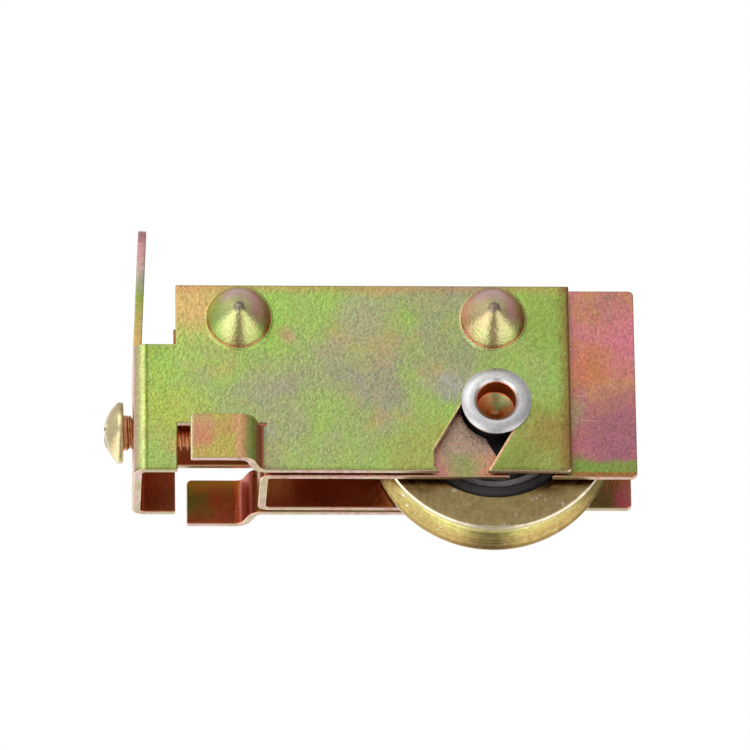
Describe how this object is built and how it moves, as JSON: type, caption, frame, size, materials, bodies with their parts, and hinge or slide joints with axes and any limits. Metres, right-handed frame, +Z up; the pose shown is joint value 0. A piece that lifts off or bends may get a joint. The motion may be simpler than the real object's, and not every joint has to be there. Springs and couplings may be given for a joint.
{
  "type": "sliding door roller",
  "caption": "Adjustable sliding door roller: a grooved steel wheel on a ball bearing in a folded, yellow zinc plated housing, lowered by an end screw.",
  "frame": {"origin": "the wheel's centre on the housing's middle plane, with the wheel fully raised", "axes": "+X along the door, away from the adjusting screw; +Y across the door; +Z up, with the wheel at the bottom"},
  "size_m": [0.0819, 0.03, 0.05],
  "materials": {
    "yellow_zinc_sheet": "yellow-green chromated zinc on steel sheet",
    "iridescent_zinc_sheet": "pink and brown chromated zinc on steel sheet",
    "yellow_zinc_turned": "turned steel, yellow chromated",
    "yellow_zinc_screw": "bright yellow chromated",
    "bright_steel": "clinched bright steel, coppery bore",
    "blackened_steel": "turned, black oxide",
    "bearing_steel": "ground",
    "polished_steel": "polished",
    "pressed_steel": "pressed sheet",
    "black_nylon": "moulded"
  },
  "bodies": {
    "housing": {"outer_housing": "yellow_zinc_sheet"},
    "screw": {"adjusting_screw": "yellow_zinc_screw"},
    "carriage": {"wheel_carriage": "iridescent_zinc_sheet", "screw_nut": "yellow_zinc_screw"},
    "axle": {"axle_rivet": "bright_steel", "bush_front": "blackened_steel", "bush_back": "blackened_steel", "bearing_inner_ring": "bearing_steel"},
    "wheel": {"wheel_rim": "yellow_zinc_turned", "insert_ring": "black_nylon", "bearing_outer_ring": "bearing_steel", "shield_front": "pressed_steel", "shield_back": "pressed_steel"},
    "cage": {"bearing_balls": "polished_steel", "cage_front": "pressed_steel", "cage_back": "pressed_steel", "cage_rivets": "pressed_steel"}
  },
  "joints": [
    {"name": "screw_turn", "type": "hinge", "parent": "housing", "child": "screw", "pos_m": [-0.045, 0, -0.0016], "axis": [1, 0, 0], "range_deg": [0, 3241]},
    {"name": "carriage_slide", "type": "slide", "parent": "housing", "child": "carriage", "axis": [-1, 0, 0], "range_m": [0, 0.00953]},
    {"name": "axle_drop", "type": "slide", "parent": "housing", "child": "axle", "axis": [-0.5, 0, -0.866], "range_m": [0, 0.00953]},
    {"name": "wheel_spin", "type": "hinge", "parent": "axle", "child": "wheel", "pos_m": [0, 0, 0], "axis": [0, 1, 0], "continuous": true},
    {"name": "cage_spin", "type": "hinge", "parent": "axle", "child": "cage", "pos_m": [0, 0, 0], "axis": [0, 1, 0], "continuous": true}
  ],
  "couplings": [
    {"joint": "screw_turn", "follows": "carriage_slide", "rad_per_m": 5936.9},
    {"joint": "axle_drop", "follows": "carriage_slide", "ratio": 1},
    {"joint": "cage_spin", "follows": "wheel_spin", "ratio": 0.58819}
  ]
}
